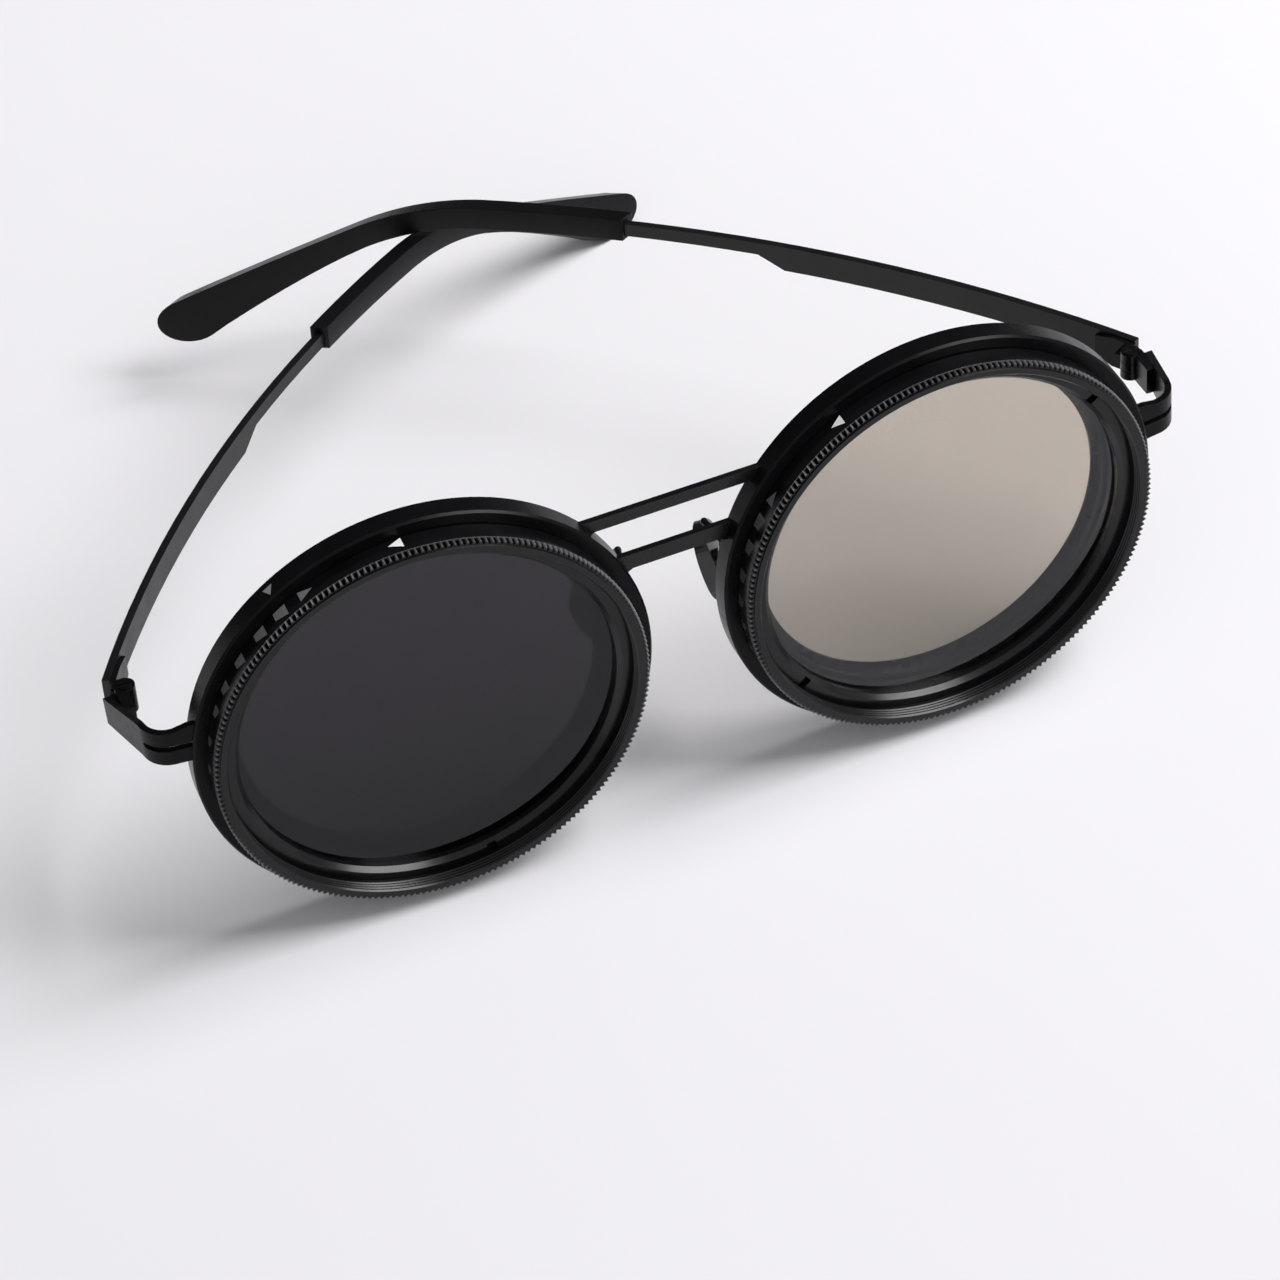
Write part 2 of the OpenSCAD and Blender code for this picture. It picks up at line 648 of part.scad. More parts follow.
color("dimgray") rim(-1);  // rim_l
color("dimgray") rim(1);  // rim_r
color("gray") turn_ring(-1);  // turn_ring_l
color("gray") turn_ring(1);  // turn_ring_r
color("lightblue") front_glass(-1);  // front_glass_l
color("lightblue") front_glass(1);  // front_glass_r
color("slategray") front_keeper(-1);  // front_keeper_l
color("slategray") front_keeper(1);  // front_keeper_r
color("lightblue") rear_glass(-1);  // rear_glass_l
color("lightblue") rear_glass(1);  // rear_glass_r
color("slategray") rear_keeper(-1);  // rear_keeper_l
color("slategray") rear_keeper(1);  // rear_keeper_r
color("white") slip_ring(-1);  // slip_ring_l
color("white") slip_ring(1);  // slip_ring_r
color("silver") snap_ring(-1);  // snap_ring_l
color("silver") snap_ring(1);  // snap_ring_r
color("dimgray") bar(upper_z, upper_h, 0.5);  // bridge_upper
color("dimgray") bar(lower_z, lower_h, 0.9);  // bridge_lower
color("dimgray") lug(-1);  // lug_l
color("dimgray") lug(1);  // lug_r
color("silver") hinge_front(-1);  // hinge_front_l
color("silver") hinge_front(1);  // hinge_front_r
color("silver") hinge_screw(-1);  // hinge_screw_l
color("silver") hinge_screw(1);  // hinge_screw_r
color("silver") hinge_temple(-1);  // hinge_temple_l
color("silver") hinge_temple(1);  // hinge_temple_r
color("dimgray") temple(-1);  // temple_l
color("dimgray") temple(1);  // temple_r
color("black") sleeve(-1);  // sleeve_l
color("black") sleeve(1);  // sleeve_r
color("silver") pad_arm(-1);  // pad_arm_l
color("silver") pad_arm(1);  // pad_arm_r
color("silver") pad_box(-1);  // pad_box_l
color("silver") pad_box(1);  // pad_box_r
color("white") nose_pad(-1);  // nose_pad_l
color("white") nose_pad(1);  // nose_pad_r
color("silver") pad_post(-1);  // pad_post_l
color("silver") pad_post(1);  // pad_post_r
color("silver") pad_screw(-1);  // pad_screw_l
color("silver") pad_screw(1);  // pad_screw_r
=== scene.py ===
"""Round sunglasses with two turning polarising lens rings, dressed for a still picture."""

import logging
import math
from dataclasses import dataclass
from enum import Enum

import bpy
from mathutils import Matrix, Quaternion, Vector


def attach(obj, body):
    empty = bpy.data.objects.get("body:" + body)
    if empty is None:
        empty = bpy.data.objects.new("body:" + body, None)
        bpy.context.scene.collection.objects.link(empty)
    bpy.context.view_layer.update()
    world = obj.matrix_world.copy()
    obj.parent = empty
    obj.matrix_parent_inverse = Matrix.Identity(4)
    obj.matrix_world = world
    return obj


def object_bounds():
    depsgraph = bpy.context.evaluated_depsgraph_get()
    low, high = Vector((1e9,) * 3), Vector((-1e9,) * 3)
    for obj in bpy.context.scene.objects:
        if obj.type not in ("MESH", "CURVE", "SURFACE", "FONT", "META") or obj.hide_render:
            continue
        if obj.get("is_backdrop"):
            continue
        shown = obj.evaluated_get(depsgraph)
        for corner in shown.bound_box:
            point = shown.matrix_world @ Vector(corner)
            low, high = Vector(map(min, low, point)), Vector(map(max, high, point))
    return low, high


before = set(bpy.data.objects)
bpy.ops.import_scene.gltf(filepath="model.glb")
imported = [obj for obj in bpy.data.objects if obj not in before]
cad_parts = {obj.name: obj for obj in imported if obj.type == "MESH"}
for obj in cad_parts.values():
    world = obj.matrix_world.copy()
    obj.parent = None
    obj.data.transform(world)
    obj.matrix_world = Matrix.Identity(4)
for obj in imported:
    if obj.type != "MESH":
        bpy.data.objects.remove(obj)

LOG = logging.getLogger("scene")
MM = 0.001
# Most of a noise lies between these values
NOISE_MIDDLE = (0.3, 0.7)
Pair = tuple[float, float]
Triple = tuple[float, float, float]
Colour = tuple[float, float, float]
Faces = list[tuple[int, ...]]
Socket = bpy.types.NodeSocket


class Side(Enum):
    """Left and right as seen from the front, with the sign of X."""

    LEFT = -1
    RIGHT = 1

    @property
    def tail(self) -> str:
        """End of this side's node and body names."""
        return "_l" if self is Side.LEFT else "_r"


class Polarity(Enum):
    """How far the two polarisers of one eye are crossed."""

    CLEAR = "clear"
    CROSSED = "crossed"


@dataclass(frozen=True)
class Stance:
    """How the frame's own axes stand on the table: tipped back, lifted and centred."""

    lean_deg: float = 4.91687
    lift_mm: float = 30.1083
    shift_mm: float = 52.1622

    def turn(self, way: Vector) -> Vector:
        """Turns a direction from the frame's own axes to the table's."""
        return Matrix.Rotation(-math.radians(self.lean_deg), 3, "X") @ way

    def place(self, point: Vector) -> Vector:
        """Moves a point in millimetres of the frame's own axes to metres on the table."""
        return (self.turn(point) + Vector((0.0, -self.shift_mm, self.lift_mm))) * MM


@dataclass(frozen=True)
class LensAxis:
    """Axes of one lens: across, up and back, with the centre of its front face."""

    side: Side
    stance: Stance = Stance()
    spacing_mm: float = 69.4
    wrap_deg: float = 1.2

    def point(self, radius: float, angle_deg: float, depth: float) -> Vector:
        """Point on a cylinder about the lens axis.

        Args:
            radius: distance from the axis, in millimetres.
            angle_deg: angle from across (0) to up (90), seen from the front.
            depth: distance behind the front face, in millimetres.

        Returns:
            The point in metres on the table.
        """
        wrap = math.radians(self.wrap_deg)
        angle = math.radians(angle_deg)
        sign = self.side.value
        across = Vector((math.cos(wrap), sign * math.sin(wrap), 0.0))
        back = Vector((-sign * math.sin(wrap), math.cos(wrap), 0.0))
        centre = Vector((sign * self.spacing_mm / 2, 0.0, 0.0))
        out = across * math.cos(angle) + Vector((0.0, 0.0, 1.0)) * math.sin(angle)
        return self.stance.place(centre + back * depth + out * radius)


@dataclass(frozen=True)
class Grain:
    """Pattern of a noise: cycles a metre, levels of finer detail, and stretch along the axes."""

    scale: float
    detail: float
    stretch: Triple = (1.0, 1.0, 1.0)


class Shader:
    """Small helper that adds and joins the nodes of one material."""

    def __init__(self, name: str) -> None:
        """Makes an empty material with an output node.

        Args:
            name: name of the material.
        """
        self.mat = bpy.data.materials.new(name)
        self.mat.use_nodes = True
        self.tree = self.mat.node_tree
        self.tree.nodes.clear()
        self.out = self.tree.nodes.new("ShaderNodeOutputMaterial")
        self.coord = self.tree.nodes.new("ShaderNodeTexCoord").outputs["Object"]

    def add(self, kind: str, props: dict | None = None, **inputs: object) -> bpy.types.Node:
        """Adds a node, sets its properties, and sets or links its inputs.

        Args:
            kind: Blender's name of the node type.
            props: attributes of the node, such as its mode.
            inputs: a value or a socket for each input, which is named with underscores for
                spaces, or numbered, as in i0.

        Returns:
            The new node.
        """
        node = self.tree.nodes.new(kind)
        for key, value in (props or {}).items():
            setattr(node, key, value)
        for key, value in inputs.items():
            numbered = key[0] == "i" and key[1:].isdigit()
            socket = node.inputs[int(key[1:]) if numbered else key.replace("_", " ")]
            if isinstance(value, Socket):
                self.tree.links.new(value, socket)
            else:
                socket.default_value = value
        return node

    def number(self, operation: str, first: Socket | float, second: Socket | float) -> Socket:
        """Works out one number from two."""
        return self.add("ShaderNodeMath", {"operation": operation}, i0=first, i1=second).outputs[0]

    def vector(self, operation: str, out: str = "Vector", **inputs: object) -> Socket:
        """Works on vectors, and gives the named output."""
        return self.add("ShaderNodeVectorMath", {"operation": operation}, **inputs).outputs[out]

    def noise(self, grain: Grain) -> Socket:
        """Noise in object coordinates.

        Args:
            grain: its pattern.

        Returns:
            Its value, mostly within NOISE_MIDDLE.
        """
        at = self.add("ShaderNodeMapping", Vector=self.coord, Scale=grain.stretch)
        node = self.add("ShaderNodeTexNoise", Vector=at.outputs[0], Scale=grain.scale, Detail=grain.detail)
        return node.outputs["Fac"]

    def remap(self, value: Socket, start: float, end: float, low: float = 0.0, high: float = 1.0) -> Socket:
        """Maps a range of values to another one, and goes no further at its ends."""
        ends = {"From_Min": start, "From_Max": end, "To_Min": low, "To_Max": high}
        return self.add("ShaderNodeMapRange", Value=value, **ends).outputs["Result"]

    def spread(self, noise: Socket, low: float, high: float) -> Socket:
        """Maps the middle of a noise to a range of values."""
        return self.remap(noise, *NOISE_MIDDLE, low, high)

    def mix(self, share: Socket, first: Socket | Colour, second: Socket | Colour) -> Socket:
        """Mixes two colours."""
        low, high = (colour if isinstance(colour, Socket) else (*colour, 1.0) for colour in (first, second))
        return self.add("ShaderNodeMix", {"data_type": "RGBA"}, i0=share, i6=low, i7=high).outputs[2]

    def blend(self, share: Socket, first: bpy.types.Node, second: bpy.types.Node) -> bpy.types.Node:
        """Blends two surfaces."""
        return self.add("ShaderNodeMixShader", Fac=share, i1=first.outputs[0], i2=second.outputs[0])

    def finish(self, surface: Socket) -> bpy.types.Material:
        """Joins the surface to the output and returns the material."""
        self.tree.links.new(surface, self.out.inputs["Surface"])
        return self.mat


@dataclass(frozen=True)
class SolidFinish:
    """Opaque surface: cloudy colour, uneven sheen, fine grain and slightly rounded edges."""

    name: str
    dark: Colour
    light: Colour
    rough: Pair
    specular: float
    cloud: Grain
    sheen: Grain
    grain: Grain
    grain_mm: float
    grain_strength: float
    edge_mm: float
    edge_samples: int
    metallic: float = 0.0
    clear: float = 0.0
    clear_rough: float = 0.08

    def body(self, shader: Shader) -> Socket:
        """Base colour, slightly cloudy."""
        return shader.mix(shader.spread(shader.noise(self.cloud), 0.0, 1.0), self.dark, self.light)

    def build(self) -> bpy.types.Material:
        """Makes the material.

        Returns:
            The material.
        """
        shader = Shader(self.name)
        edge = shader.add("ShaderNodeBevel", {"samples": self.edge_samples}, Radius=self.edge_mm * MM)
        bump = shader.add(
            "ShaderNodeBump",
            Height=shader.noise(self.grain),
            Distance=self.grain_mm * MM,
            Strength=self.grain_strength,
            Normal=edge.outputs[0],
        )
        skin = shader.add(
            "ShaderNodeBsdfPrincipled",
            Base_Color=self.body(shader),
            Metallic=self.metallic,
            Roughness=shader.spread(shader.noise(self.sheen), *self.rough),
            Specular_IOR_Level=self.specular,
            Coat_Weight=self.clear,
            Coat_Roughness=self.clear_rough,
            Normal=bump.outputs[0],
        )
        return shader.finish(skin.outputs[0])


@dataclass(frozen=True)
class MetalFinish(SolidFinish):
    """Blackened or bare metal with a fine blasted grain."""

    dark: Colour = (0.0022, 0.0021, 0.0026)
    light: Colour = (0.0045, 0.0044, 0.0052)
    rough: Pair = (0.2, 0.3)
    specular: float = 0.2
    cloud: Grain = Grain(160.0, 4.0)
    sheen: Grain = Grain(420.0, 5.0)
    grain: Grain = Grain(9000.0, 2.0)
    grain_mm: float = 0.001
    grain_strength: float = 0.6
    edge_mm: float = 0.05
    edge_samples: int = 4


@dataclass(frozen=True)
class RingFinish(MetalFinish):
    """Blackened metal of the knurled and retaining rings, smoother than the rest."""

    rough: Pair = (0.17, 0.26)
    specular: float = 0.3


@dataclass(frozen=True)
class KnurlFinish(RingFinish):
    """Blackened ring whose tooth crests carry a painted highlight: a paler colour in place of glints.

    The painted highlight lies between the two radii in crest_mm. The teeth reach row_mm back from the
    ring's front face, and nothing behind them is painted.
    """

    axis: LensAxis = LensAxis(Side.LEFT)
    crest_mm: Pair = (27.66, 27.98)
    row_mm: float = 1.01
    # Colour of the painted highlight on the tooth crests
    crest_glint: Colour = (0.2, 0.2, 0.206)

    def body(self, shader: Shader) -> Socket:
        """Base colour, with a painted highlight near the top of each tooth.

        Args:
            shader: the material being made.

        Returns:
            The colour.
        """
        centre = self.axis.point(0.0, 0.0, 0.0)
        back = tuple((self.axis.point(0.0, 0.0, 1.0) - centre).normalized())
        off = shader.vector("SUBTRACT", i0=shader.coord, i1=tuple(centre))
        depth = shader.vector("DOT_PRODUCT", "Value", i0=off, i1=back)
        along = shader.vector("SCALE", i0=back, Scale=depth)
        radius = shader.vector("LENGTH", "Value", i0=shader.vector("SUBTRACT", i0=off, i1=along))
        # Painted highlight: the tooth crests get a paler colour that stands in for glints
        crest = shader.remap(radius, *(mark * MM for mark in self.crest_mm))
        row = shader.number("LESS_THAN", depth, self.row_mm * MM)
        glint_share = shader.number("MULTIPLY", crest, row)
        return shader.mix(glint_share, super().body(shader), self.crest_glint)


@dataclass(frozen=True)
class SoftFinish(SolidFinish):
    """Soft moulded rubber or silicone with a fine even grain."""

    dark: Colour = (0.003, 0.0029, 0.0035)
    light: Colour = (0.005, 0.0048, 0.0056)
    rough: Pair = (0.27, 0.35)
    specular: float = 0.17
    cloud: Grain = Grain(70.0, 4.0)
    sheen: Grain = Grain(300.0, 4.0)
    grain: Grain = Grain(5200.0, 3.0)
    grain_mm: float = 0.006
    grain_strength: float = 0.5
    edge_mm: float = 0.25
    edge_samples: int = 6


@dataclass(frozen=True)
class GlassFinish:
    """Coated polarising glass: tinted, with a clean reflection and a trace of smear.

    The tint turns to the shade along the slope, between the two places in slope_m; this darkening is a
    painted shade. The cast is what the glass lets through to its own shadow.
    """

    name: str
    tint: Colour
    painted_shade: Colour
    cast: Colour = (0.8, 0.79, 0.77)
    slope: Triple = (0.59, 0.0, 0.81)
    slope_m: Pair = (0.055, 0.025)
    waver: Grain = Grain(22.0, 2.0)
    waver_mm: float = 1.0
    mirror: Colour = (0.95, 0.96, 1.0)
    gloss: float = 1.0
    smear: Grain = Grain(60.0, 3.0, (1.0, 1.0, 2.0))
    haze: Pair = (0.03, 0.045)
    bending: float = 1.5

    def seen(self, shader: Shader) -> Socket:
        """Tint that the camera sees, which darkens along the slope as a painted shade.

        Args:
            shader: the material being made.

        Returns:
            The colour.
        """
        place = shader.vector("DOT_PRODUCT", "Value", i0=shader.coord, i1=self.slope)
        waver = shader.spread(shader.noise(self.waver), -self.waver_mm * MM, self.waver_mm * MM)
        # Painted shade: the tint darkens toward the lower end of the slope
        fall = shader.remap(shader.number("ADD", place, waver), *self.slope_m)
        return shader.mix(fall, self.tint, self.painted_shade)

    def build(self) -> bpy.types.Material:
        """Makes the material.

        Returns:
            The material.
        """
        shader = Shader(self.name)
        shadow = shader.add("ShaderNodeLightPath").outputs["Is Shadow Ray"]
        tint = shader.mix(shadow, self.seen(shader), self.cast)
        through = shader.add("ShaderNodeBsdfTransparent", Color=tint)
        haze = shader.spread(shader.noise(self.smear), *self.haze)
        mirror = shader.add("ShaderNodeBsdfGlossy", Color=(*self.mirror, 1.0), Roughness=haze)
        edge_on = shader.add("ShaderNodeFresnel", IOR=self.bending).outputs[0]
        gloss = shader.number("SUBTRACT", self.gloss, shadow)
        product = {"operation": "MULTIPLY", "use_clamp": True}
        share = shader.add("ShaderNodeMath", product, i0=edge_on, i1=gloss)
        outer = shader.blend(share.outputs[0], through, mirror)
        # The disc is tinted once, where light enters it from outside
        inner = shader.add("ShaderNodeBsdfTransparent", Color=(1.0, 1.0, 1.0, 1.0))
        inside = shader.add("ShaderNodeNewGeometry").outputs["Backfacing"]
        return shader.finish(shader.blend(inside, outer, inner).outputs[0])


@dataclass(frozen=True)
class PaintFinish:
    """Printed marking: flat ink with slightly uneven cover.

    Where heights are given, the ink darkens from its upper to its lower height, as a painted shade.
    """

    name: str
    full: Colour
    thin: Colour
    shade_heights_m: Pair | None = None
    # Colour of the painted shade at the lower height
    shaded_ink: Colour = (0.03, 0.03, 0.032)
    cover: Grain = Grain(2500.0, 5.0)
    most_thin: float = 0.6
    sheen: Grain = Grain(1500.0, 2.0)
    rough: Pair = (0.5, 0.7)
    specular: float = 0.3

    def build(self) -> bpy.types.Material:
        """Makes the material.

        Returns:
            The material.
        """
        shader = Shader(self.name)
        ink = shader.mix(shader.spread(shader.noise(self.cover), 0.0, self.most_thin), self.full, self.thin)
        if self.shade_heights_m is not None:
            # Painted shade: the ink darkens toward the lower height
            height = shader.add("ShaderNodeSeparateXYZ", Vector=shader.coord).outputs["Z"]
            ink = shader.mix(shader.remap(height, self.shade_heights_m[1], self.shade_heights_m[0]), ink, self.shaded_ink)
        rough = shader.spread(shader.noise(self.sheen), *self.rough)
        skin = shader.add(
            "ShaderNodeBsdfPrincipled", Base_Color=ink, Roughness=rough, Specular_IOR_Level=self.specular
        )
        return shader.finish(skin.outputs[0])


@dataclass(frozen=True)
class FloorFinish:
    """Seamless pale studio paper with a barely visible tooth."""

    name: str = "paper"
    pale: Colour = (0.86, 0.85, 0.872)
    deep: Colour = (0.852, 0.842, 0.866)
    cloud: Grain = Grain(9.0, 3.0)
    tooth: Grain = Grain(2600.0, 2.0)
    tooth_mm: float = 0.01
    tooth_strength: float = 0.1
    rough: float = 0.6

    def build(self) -> bpy.types.Material:
        """Makes the material.

        Returns:
            The material.
        """
        shader = Shader(self.name)
        tooth = shader.noise(self.tooth)
        bump = shader.add(
            "ShaderNodeBump", Height=tooth, Distance=self.tooth_mm * MM, Strength=self.tooth_strength
        )
        cloud = shader.spread(shader.noise(self.cloud), 0.0, 1.0)
        skin = shader.add(
            "ShaderNodeBsdfDiffuse",
            Color=shader.mix(cloud, self.pale, self.deep),
            Roughness=self.rough,
            Normal=bump.outputs[0],
        )
        return shader.finish(skin.outputs[0])


class Wardrobe:
    """All finishes of the part, built once and shared."""

    def __init__(self) -> None:
        """Builds every material."""
        self.rim = MetalFinish("rim_black", dark=(0.003, 0.0029, 0.0034), specular=0.09).build()
        self.keeper = RingFinish("ring_black").build()
        self.knurl = {side: KnurlFinish("knurl" + side.tail, axis=LensAxis(side)).build() for side in Side}
        self.strip = MetalFinish(
            "strip_black", light=(0.006, 0.0058, 0.0065), rough=(0.22, 0.3), specular=0.3
        ).build()
        self.lug = MetalFinish(
            "lug_black", light=(0.005, 0.0048, 0.0055), rough=(0.24, 0.32), specular=0.1
        ).build()
        self.temple = MetalFinish(
            "temple_black", light=(0.007, 0.0067, 0.0075), rough=(0.3, 0.38), specular=0.36
        ).build()
        self.hinge = MetalFinish("hinge_black").build()
        self.steel = MetalFinish(
            "steel", dark=(0.34, 0.34, 0.35), light=(0.48, 0.48, 0.49), rough=(0.22, 0.36), metallic=1.0
        ).build()
        self.slip = SoftFinish(
            "slip", dark=(0.62, 0.61, 0.58), light=(0.7, 0.69, 0.66), specular=0.5
        ).build()
        self.sleeve = SoftFinish("sleeve_black").build()
        self.pad = SoftFinish(
            "pad_black",
            dark=(0.004, 0.004, 0.0045),
            light=(0.009, 0.009, 0.01),
            rough=(0.1, 0.18),
            specular=0.4,
            clear=0.3,
        ).build()
        self.white = PaintFinish("ink_white", (0.86, 0.86, 0.86), (0.6, 0.6, 0.6)).build()
        # The grey ink carries a painted shade, darker toward its lower height
        self.grey = PaintFinish(
            "ink_grey", (0.19, 0.19, 0.195), (0.13, 0.13, 0.135), shade_heights_m=(0.034, 0.056)
        ).build()
        self.dim = PaintFinish("ink_dim", (0.25, 0.25, 0.255), (0.18, 0.18, 0.185)).build()
        self.glass = {
            # The second colour of each glass is its painted shade, toward the lower end of its slope
            Polarity.CLEAR: GlassFinish("glass_clear", (0.723, 0.683, 0.632), (0.631, 0.6, 0.556)).build(),
            Polarity.CROSSED: GlassFinish(
                "glass_crossed",
                (0.152, 0.144, 0.155),
                (0.125, 0.118, 0.13),
                cast=(0.19, 0.19, 0.19),
                slope_m=(0.022, -0.018),
                gloss=0.7,
            ).build(),
        }


def dress(node: str, mat: bpy.types.Material) -> None:
    """Gives a node of the frame its finish.

    Args:
        node: name of the node.
        mat: material for all its slots.
    """
    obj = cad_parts[node]
    for slot in obj.material_slots:
        slot.material = mat
    if not obj.material_slots:
        obj.data.materials.append(mat)
    LOG.info("%s: dressed in %s", node, mat.name)


def soften(
    node: str, width_mm: float, steps: int = 4, weld_mm: float = 0.002, sharp_deg: float = 40.0
) -> None:
    """Rounds the sharp edges of a moulded node with modifiers.

    Args:
        node: name of the node.
        width_mm: how far the rounding reaches from each edge.
        steps: facets across the rounding.
        weld_mm: corners nearer than this are joined first.
        sharp_deg: edges that turn by more than this are rounded.
    """
    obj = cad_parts[node]
    weld = obj.modifiers.new("weld", "WELD")
    weld.merge_threshold = weld_mm * MM
    bevel = obj.modifiers.new("round", "BEVEL")
    bevel.width = width_mm * MM
    bevel.segments = steps
    bevel.limit_method = "ANGLE"
    bevel.angle_limit = math.radians(sharp_deg)
    bevel.harden_normals = True


def new_mesh(name: str, verts: list[Vector], faces: Faces, mat: bpy.types.Material) -> bpy.types.Object:
    """Makes a mesh object from points and faces.

    Args:
        name: name of the piece.
        verts: points in metres on the table.
        faces: corner numbers of each face.
        mat: its material.

    Returns:
        The new object, linked to the scene.
    """
    mesh = bpy.data.meshes.new(name)
    mesh.from_pydata([tuple(vert) for vert in verts], [], faces)
    mesh.materials.append(mat)
    obj = bpy.data.objects.new(name, mesh)
    bpy.context.scene.collection.objects.link(obj)
    return obj


@dataclass(frozen=True)
class Patch:
    """Flat ink shape wrapped on a cylinder, with a straight front and back edge.

    It runs from one angle to another. At each it covers two depths, in millimetres.
    """

    start_deg: float
    start_mm: Pair
    end_deg: float
    end_mm: Pair
    step_deg: float = 0.5
    fewest_steps: int = 2

    def add_to(self, verts: list[Vector], faces: Faces, axis: LensAxis, radius: float) -> None:
        """Adds the shape's points and faces to a mesh being built.

        Args:
            verts: points so far.
            faces: faces so far.
            axis: lens axes that the shape is wrapped about.
            radius: radius of the printed surface, in millimetres.
        """
        span = self.end_deg - self.start_deg
        steps = max(self.fewest_steps, math.ceil(abs(span) / self.step_deg))
        base = len(verts)
        for i in range(steps + 1):
            way = i / steps
            for start, end in zip(self.start_mm, self.end_mm):
                verts.append(axis.point(radius, self.start_deg + span * way, start + (end - start) * way))
        for i in range(steps):
            corner = base + 2 * i
            faces.append((corner, corner + 1, corner + 3, corner + 2))


@dataclass(frozen=True)
class Scale:
    """Angles of one eye's printed marks. An arrow's run from its base to its tip."""

    white_deg: Pair
    grey_deg: Pair
    block_deg: tuple[float, ...]
    index_deg: float


@dataclass
class LensUnit:
    """Rim, turning ring, glasses and retaining rings of one eye, with the printed scale.

    Depths lie behind the ring's front face, in millimetres. Widths round the ring are in degrees.
    """

    side: Side
    polarity: Polarity
    scale: Scale
    band_r: float = 27.936
    rim_r: float = 29.668
    arrow_mm: Pair = (1.75, 3.4)
    block_deg: float = 4.0
    block_taper_deg: float = 0.12
    block_mm: Pair = (1.55, 3.42)
    block_slant_mm: float = 0.62
    block_drift_mm: float = 0.09
    index_half_deg: float = 1.45
    index_mm: Pair = (4.25, 5.7)

    def arrow(self, span_deg: Pair) -> Patch:
        """Arrow that points round the ring, from its base angle to its tip angle."""
        middle = sum(self.arrow_mm) / 2
        return Patch(span_deg[0], self.arrow_mm, span_deg[1], (middle, middle))

    def block(self, number: int) -> Patch:
        """One block of the scale. Each is narrower than the last, with its front edge further back.

        Args:
            number: its place in the row, from 0.

        Returns:
            The block.
        """
        angle = self.scale.block_deg[number]
        half = self.block_deg / 2 - self.block_taper_deg * number
        front, back = self.block_mm
        front += self.block_drift_mm * number
        return Patch(angle - half, (front, back), angle + half, (front + self.block_slant_mm, back))

    def index(self) -> list[Patch]:
        """Mark on the rim that the scale is read by.

        Returns:
            Its two halves, each a triangle.
        """
        angle = self.scale.index_deg
        half = self.index_half_deg
        tip, base = self.index_mm
        rise = Patch(angle - half, (base, base), angle, (tip, base))
        fall = Patch(angle, (tip, base), angle + half, (base, base))
        return [rise, fall]

    def ink(
        self, name: str, patches: list[Patch], radius: float, mat: bpy.types.Material, body: str
    ) -> None:
        """Builds one printed piece and lets it ride on its body.

        Args:
            name: name of the piece.
            patches: its shapes.
            radius: radius of the printed surface, in millimetres.
            mat: its ink.
            body: name of the body that it moves with.
        """
        verts: list[Vector] = []
        faces: Faces = []
        for patch in patches:
            patch.add_to(verts, faces, LensAxis(self.side), radius)
        obj = new_mesh(name, verts, faces, mat)
        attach(obj, body)
        LOG.info("%s: %d shapes on %s", name, len(patches), body)

    def build(self, look: Wardrobe) -> None:
        """Prints the scale on the ring and the index on the rim.

        Args:
            look: finishes of the part.
        """
        tail = self.side.tail
        blocks = [self.block(number) for number in range(len(self.scale.block_deg))]
        white = [self.arrow(self.scale.white_deg)]
        grey = [self.arrow(self.scale.grey_deg)] + blocks
        self.ink("scale_arrow" + tail, white, self.band_r, look.white, "ring" + tail)
        self.ink("scale_blocks" + tail, grey, self.band_r, look.grey, "ring" + tail)
        self.ink("rim_index" + tail, self.index(), self.rim_r, look.dim, "frame")

    def dress(self, look: Wardrobe) -> None:
        """Gives every node of the unit its finish.

        Args:
            look: finishes of the part.
        """
        finishes = {
            "rim": look.rim,
            "turn_ring": look.knurl[self.side],
            "front_keeper": look.keeper,
            "rear_keeper": look.keeper,
            "front_glass": look.glass[self.polarity],
            "rear_glass": look.glass[self.polarity],
            "slip_ring": look.slip,
            "snap_ring": look.steel,
        }
        for name, mat in finishes.items():
            dress(name + self.side.tail, mat)


@dataclass
class Bridge:
    """The two bars between the rims."""

    bars: tuple[str, str] = ("bridge_upper", "bridge_lower")

    def dress(self, look: Wardrobe) -> None:
        """Gives both bars their finish."""
        for name in self.bars:
            dress(name, look.strip)


@dataclass
class Arm:
    """Lug, hinge, temple and ear sleeve of one side."""

    side: Side
    sleeve_round_mm: float = 0.8

    def dress(self, look: Wardrobe) -> None:
        """Gives every node of the arm its finish, and rounds the sleeve's edges.

        Args:
            look: finishes of the part.
        """
        finishes = {
            "lug": look.lug,
            "temple": look.temple,
            "hinge_front": look.hinge,
            "hinge_temple": look.hinge,
            "hinge_screw": look.hinge,
            "sleeve": look.sleeve,
        }
        for name, mat in finishes.items():
            dress(name + self.side.tail, mat)
        soften("sleeve" + self.side.tail, self.sleeve_round_mm)


@dataclass
class NosePad:
    """Pad, its post and screw, and the wire that carries it."""

    side: Side

    def dress(self, look: Wardrobe) -> None:
        """Args:
            look: finishes of the part.
        """
        tail = self.side.tail
        finishes = {
            "pad_arm": look.hinge,
            "pad_box": look.hinge,
            "pad_post": look.steel,
            "pad_screw": look.steel,
            "nose_pad": look.pad,
        }
        for name, mat in finishes.items():
            dress(name + tail, mat)


@dataclass(frozen=True)
class Lamp:
    """Square soft box. Where on_matt is off, it only shows as a gleam on smooth pieces."""

    name: str
    at: Triple
    size_m: float
    watts: float
    on_matt: bool
    faces: Triple = (0.0, 0.0, 0.02)

    def hang(self) -> None:
        """Adds the lamp at its place and turns it to face the glasses."""
        data = bpy.data.lights.new(self.name, "AREA")
        data.size = self.size_m
        data.energy = self.watts
        obj = bpy.data.objects.new(self.name, data)
        obj.location = self.at
        obj.rotation_mode = "QUATERNION"
        obj.rotation_quaternion = (Vector(self.faces) - Vector(self.at)).to_track_quat("-Z", "Y")
        obj.visible_diffuse = self.on_matt
        bpy.context.scene.collection.objects.link(obj)


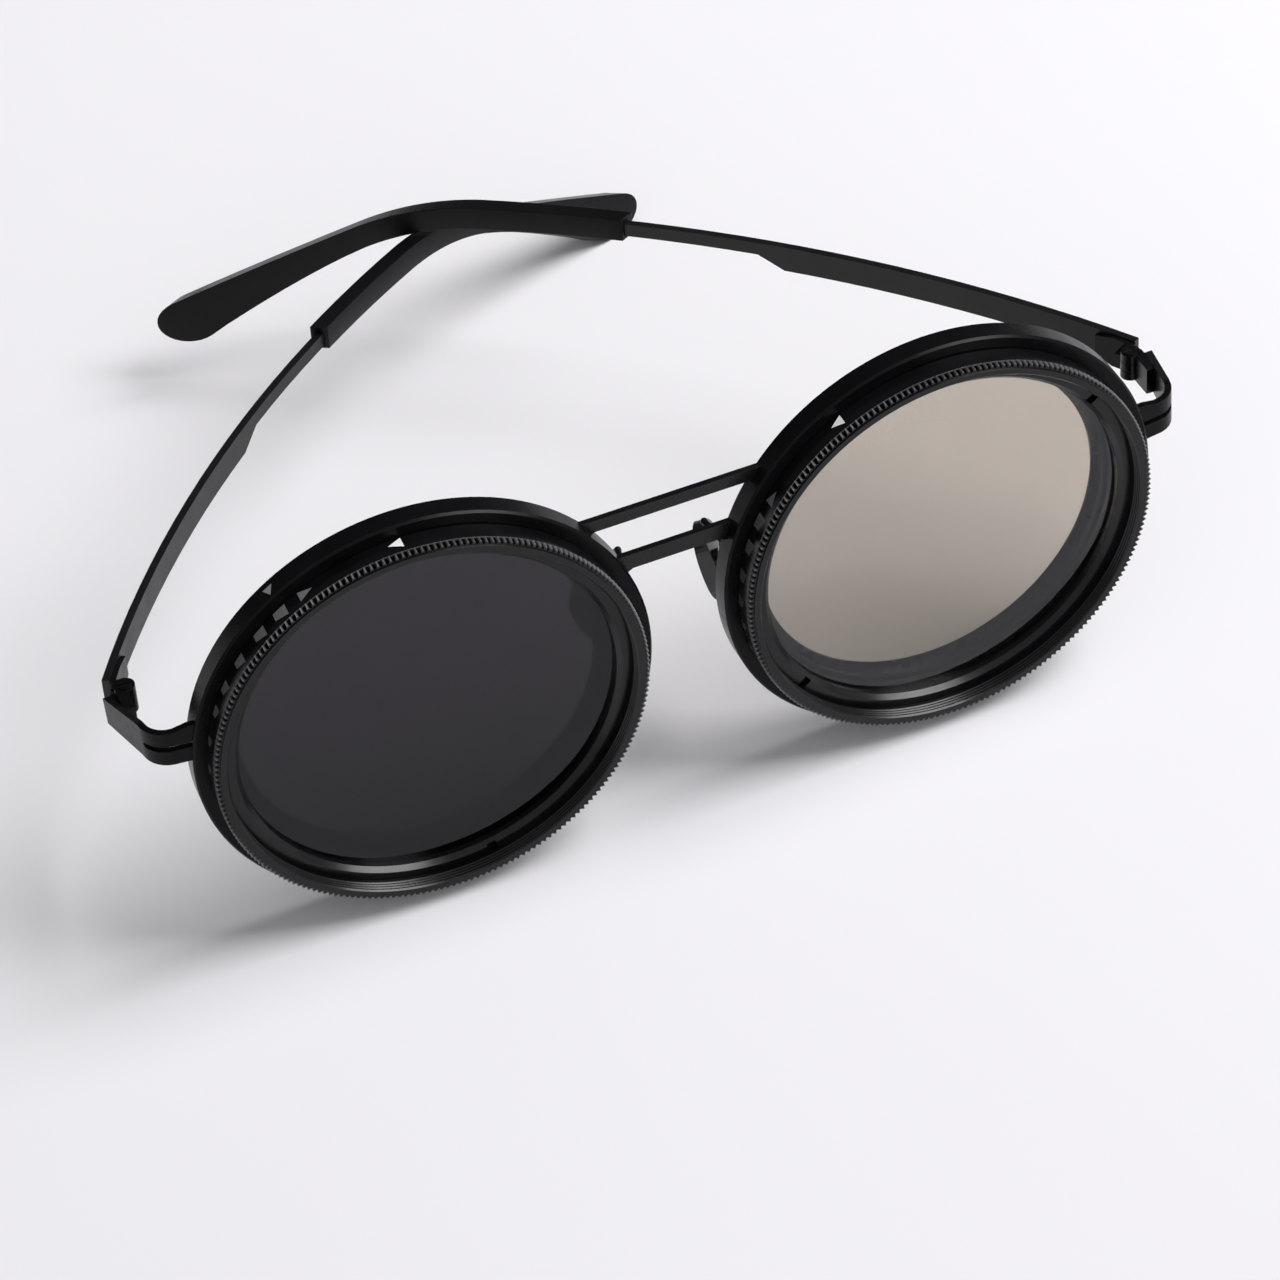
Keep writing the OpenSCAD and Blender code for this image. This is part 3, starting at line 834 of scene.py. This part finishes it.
@dataclass
class Studio:
    """Floor, lights and camera.

    The world is a light tent. It is bright up to bright_to toward either of the dim ways, and
    has fallen to dim_sky from dim_from on.
    """

    eye: Triple = (-0.136967, -0.412257, 0.446236)
    aim: Triple = (-0.0084, -0.054152, 0.035345)
    roll_deg: float = 3.939
    lens_mm: float = 129.27
    sensor_mm: float = 36.0
    floor_m: float = 6.0
    tent: Colour = (0.985, 0.985, 1.0)
    sky: float = 0.54
    dim_sky: float = 0.09
    dim_ways: tuple[Triple, Triple] = ((0.1, 0.75, 0.66), (-0.75, 0.6, 0.25))
    bright_to: float = 0.3
    dim_from: float = 0.85
    lamps: tuple[Lamp, ...] = (
        Lamp("key", (0.612, -0.153, 0.9), size_m=0.66, watts=12.75, on_matt=True),
        Lamp("front_box", (0.64, -0.72, 0.66), size_m=0.55, watts=9.5, on_matt=False),
    )

    def floor(self) -> None:
        """Lays the pale paper that the glasses stand on."""
        reach = self.floor_m / 2
        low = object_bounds()[0].z
        signs = ((-1, -1), (1, -1), (1, 1), (-1, 1))
        corners = [Vector((x * reach, y * reach, low)) for x, y in signs]
        obj = new_mesh("floor", corners, [(0, 1, 2, 3)], FloorFinish().build())
        obj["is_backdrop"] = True

    def world(self) -> None:
        """Light tent: bright over the front and the right, dim high up at the back and on the left."""
        world = bpy.data.worlds.new("tent")
        bpy.context.scene.world = world
        world.use_nodes = True
        tree = world.node_tree
        way = tree.nodes.new("ShaderNodeTexCoord").outputs["Generated"]
        nearest = tree.nodes.new("ShaderNodeMath")
        nearest.operation = "MAXIMUM"
        for socket, dim_way in zip(nearest.inputs, self.dim_ways):
            dot = tree.nodes.new("ShaderNodeVectorMath")
            dot.operation = "DOT_PRODUCT"
            tree.links.new(way, dot.inputs[0])
            dot.inputs[1].default_value = tuple(Vector(dim_way).normalized())
            tree.links.new(dot.outputs["Value"], socket)
        fall = tree.nodes.new("ShaderNodeValToRGB")
        tree.links.new(nearest.outputs[0], fall.inputs["Fac"])
        fall.color_ramp.interpolation = "EASE"
        stops = ((self.bright_to, self.sky), (self.dim_from, self.dim_sky))
        for stop, (place, level) in zip(fall.color_ramp.elements, stops):
            stop.position = place
            stop.color = (*(part * level for part in self.tent), 1.0)
        tree.links.new(fall.outputs["Color"], tree.nodes["Background"].inputs["Color"])

    def camera(self) -> None:
        """Sets the camera where the photograph was taken from."""
        data = bpy.data.cameras.new("camera")
        data.lens = self.lens_mm
        data.sensor_width = self.sensor_mm
        obj = bpy.data.objects.new("camera", data)
        look = (Vector(self.aim) - Vector(self.eye)).to_track_quat("-Z", "Y")
        obj.rotation_mode = "QUATERNION"
        obj.rotation_quaternion = look @ Quaternion((0, 0, 1), -math.radians(self.roll_deg))
        obj.location = self.eye
        bpy.context.scene.collection.objects.link(obj)
        bpy.context.scene.camera = obj

    def build(self) -> None:
        """Makes the whole studio."""
        self.floor()
        for lamp in self.lamps:
            lamp.hang()
        self.world()
        self.camera()
        bpy.context.scene.view_settings.view_transform = "Standard"


def main() -> None:
    """Builds the sub-assemblies in order, then the studio."""
    logging.basicConfig(level=logging.INFO, format="%(message)s")
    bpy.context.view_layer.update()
    look = Wardrobe()
    left = Scale(
        white_deg=(90.3, 94.0),
        grey_deg=(118.9, 114.9),
        block_deg=(125, 132.5, 141.5, 150, 157.5, 167, 176),
        index_deg=123.7,
    )
    right = Scale(
        white_deg=(117.3, 120.9),
        grey_deg=(146.3, 142.3),
        block_deg=(152, 160, 169, 177.5, 186, 194.5, 203),
        index_deg=303.7,
    )
    units = (LensUnit(Side.LEFT, Polarity.CROSSED, left), LensUnit(Side.RIGHT, Polarity.CLEAR, right))
    for unit in units:
        unit.build(look)
        unit.dress(look)
    Bridge().dress(look)
    for side in Side:
        Arm(side).dress(look)
        NosePad(side).dress(look)
    Studio().build()


if __name__ == "__main__":
    main()
